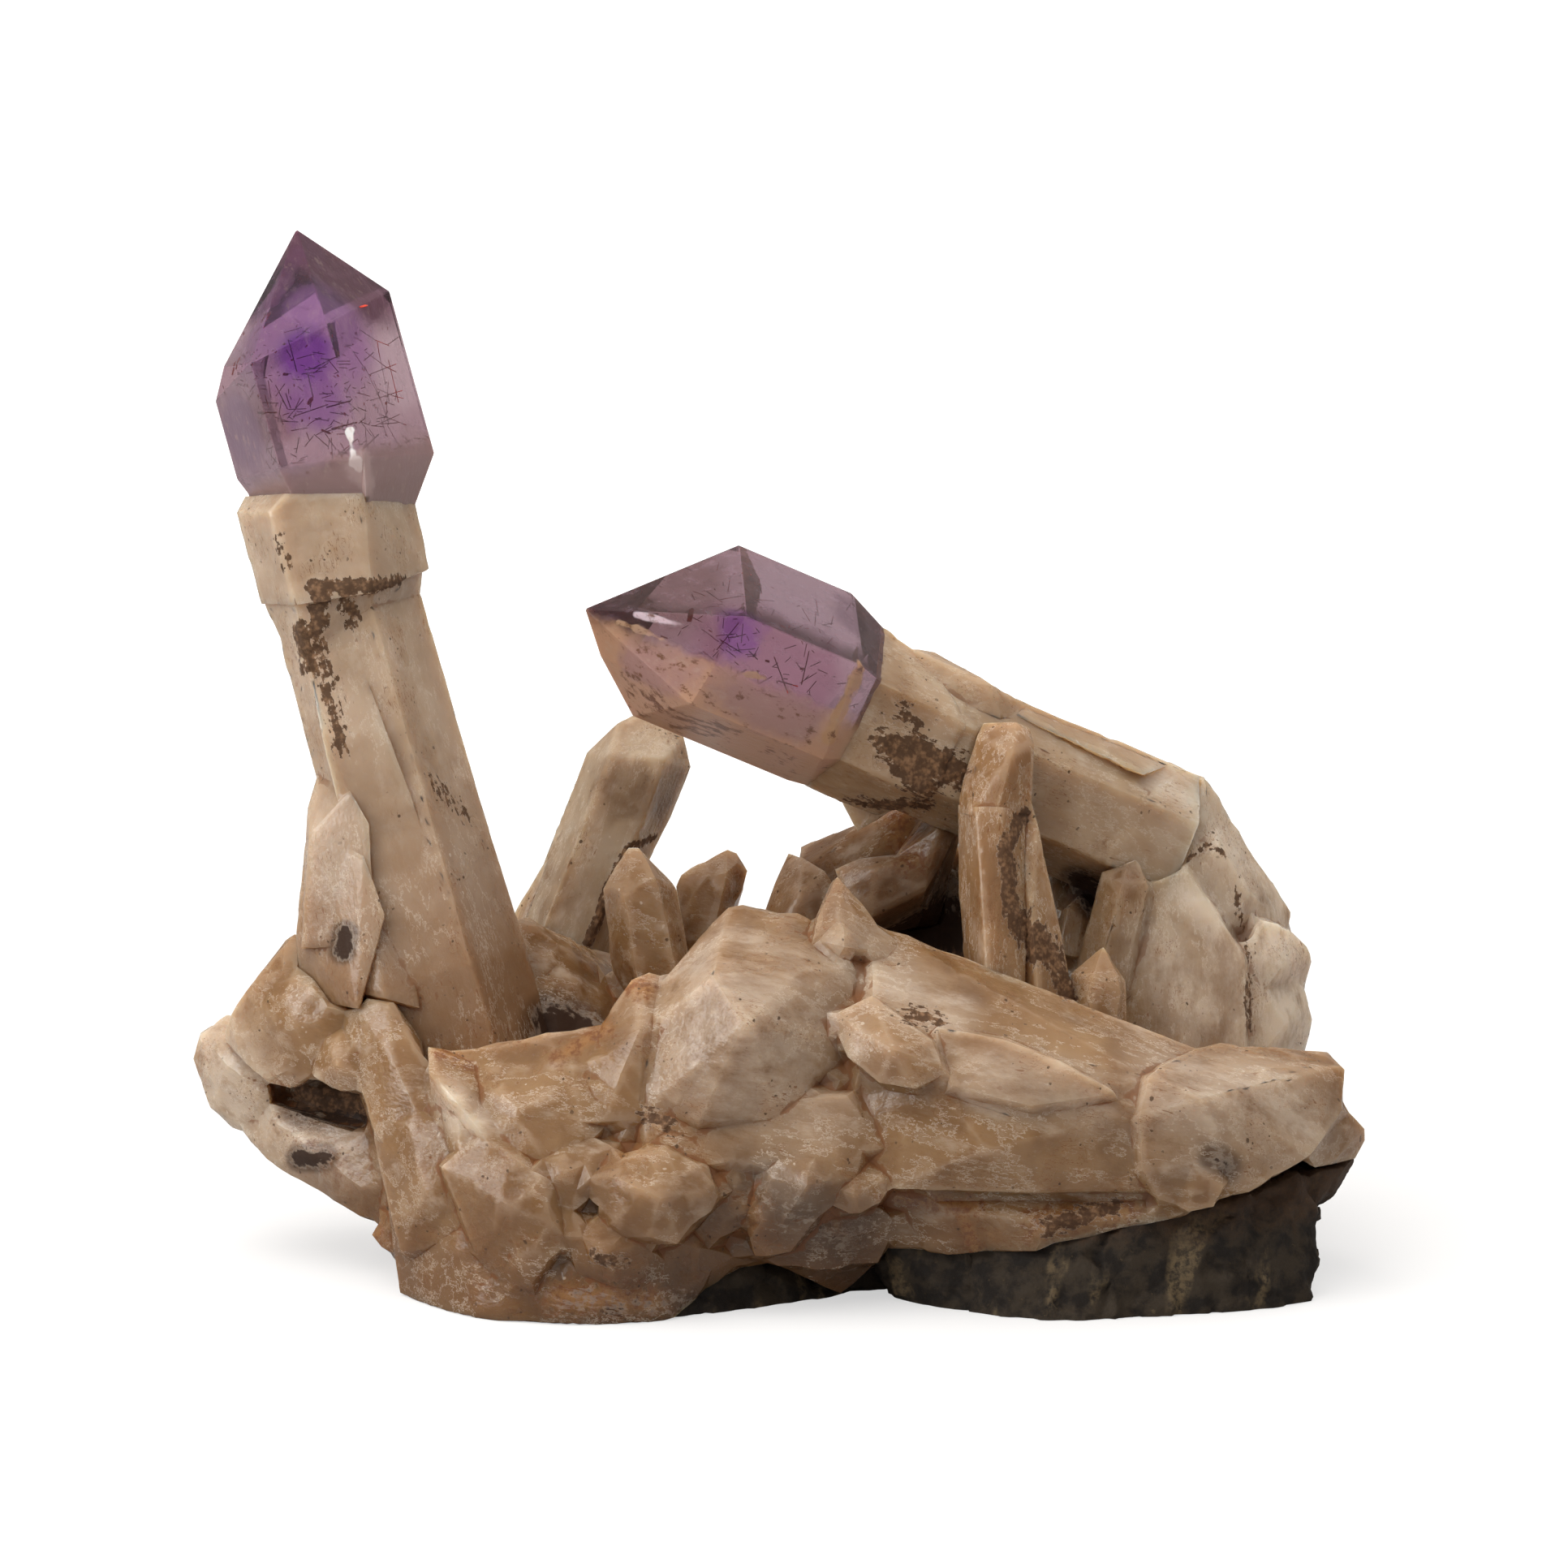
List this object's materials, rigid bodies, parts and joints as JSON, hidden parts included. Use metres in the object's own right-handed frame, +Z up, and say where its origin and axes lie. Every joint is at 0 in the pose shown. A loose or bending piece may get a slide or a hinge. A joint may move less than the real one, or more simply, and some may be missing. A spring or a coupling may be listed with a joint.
{
  "type": "mineral specimen",
  "caption": "Quartz cluster on dark host rock, with one upright and one leaning sceptre crystal that each end in a clear purple head over a milky stem.",
  "frame": {"origin": "middle of the specimen's extents, on the surface that it rests on", "axes": "+X to the right as the two sceptres are seen from the front, +Y to the back, +Z up"},
  "size_m": [0.1146, 0.0624, 0.1006],
  "materials": {
    "amethyst": "clear natural crystal faces",
    "milky_quartz": "translucent, with tan and rust stains",
    "smoky_quartz": "translucent grey",
    "host_rock": "rough broken rock"
  },
  "bodies": {
    "root": {"tall_head": "amethyst", "tall_stem": "milky_quartz", "leaning_head": "amethyst", "leaning_stem": "milky_quartz", "pillar_crystal": "milky_quartz", "back_crystal": "milky_quartz", "slanted_crystal": "smoky_quartz", "crystal_wall": "milky_quartz", "quartz_base": "milky_quartz", "matrix_rock": "host_rock"}
  },
  "joints": []
}
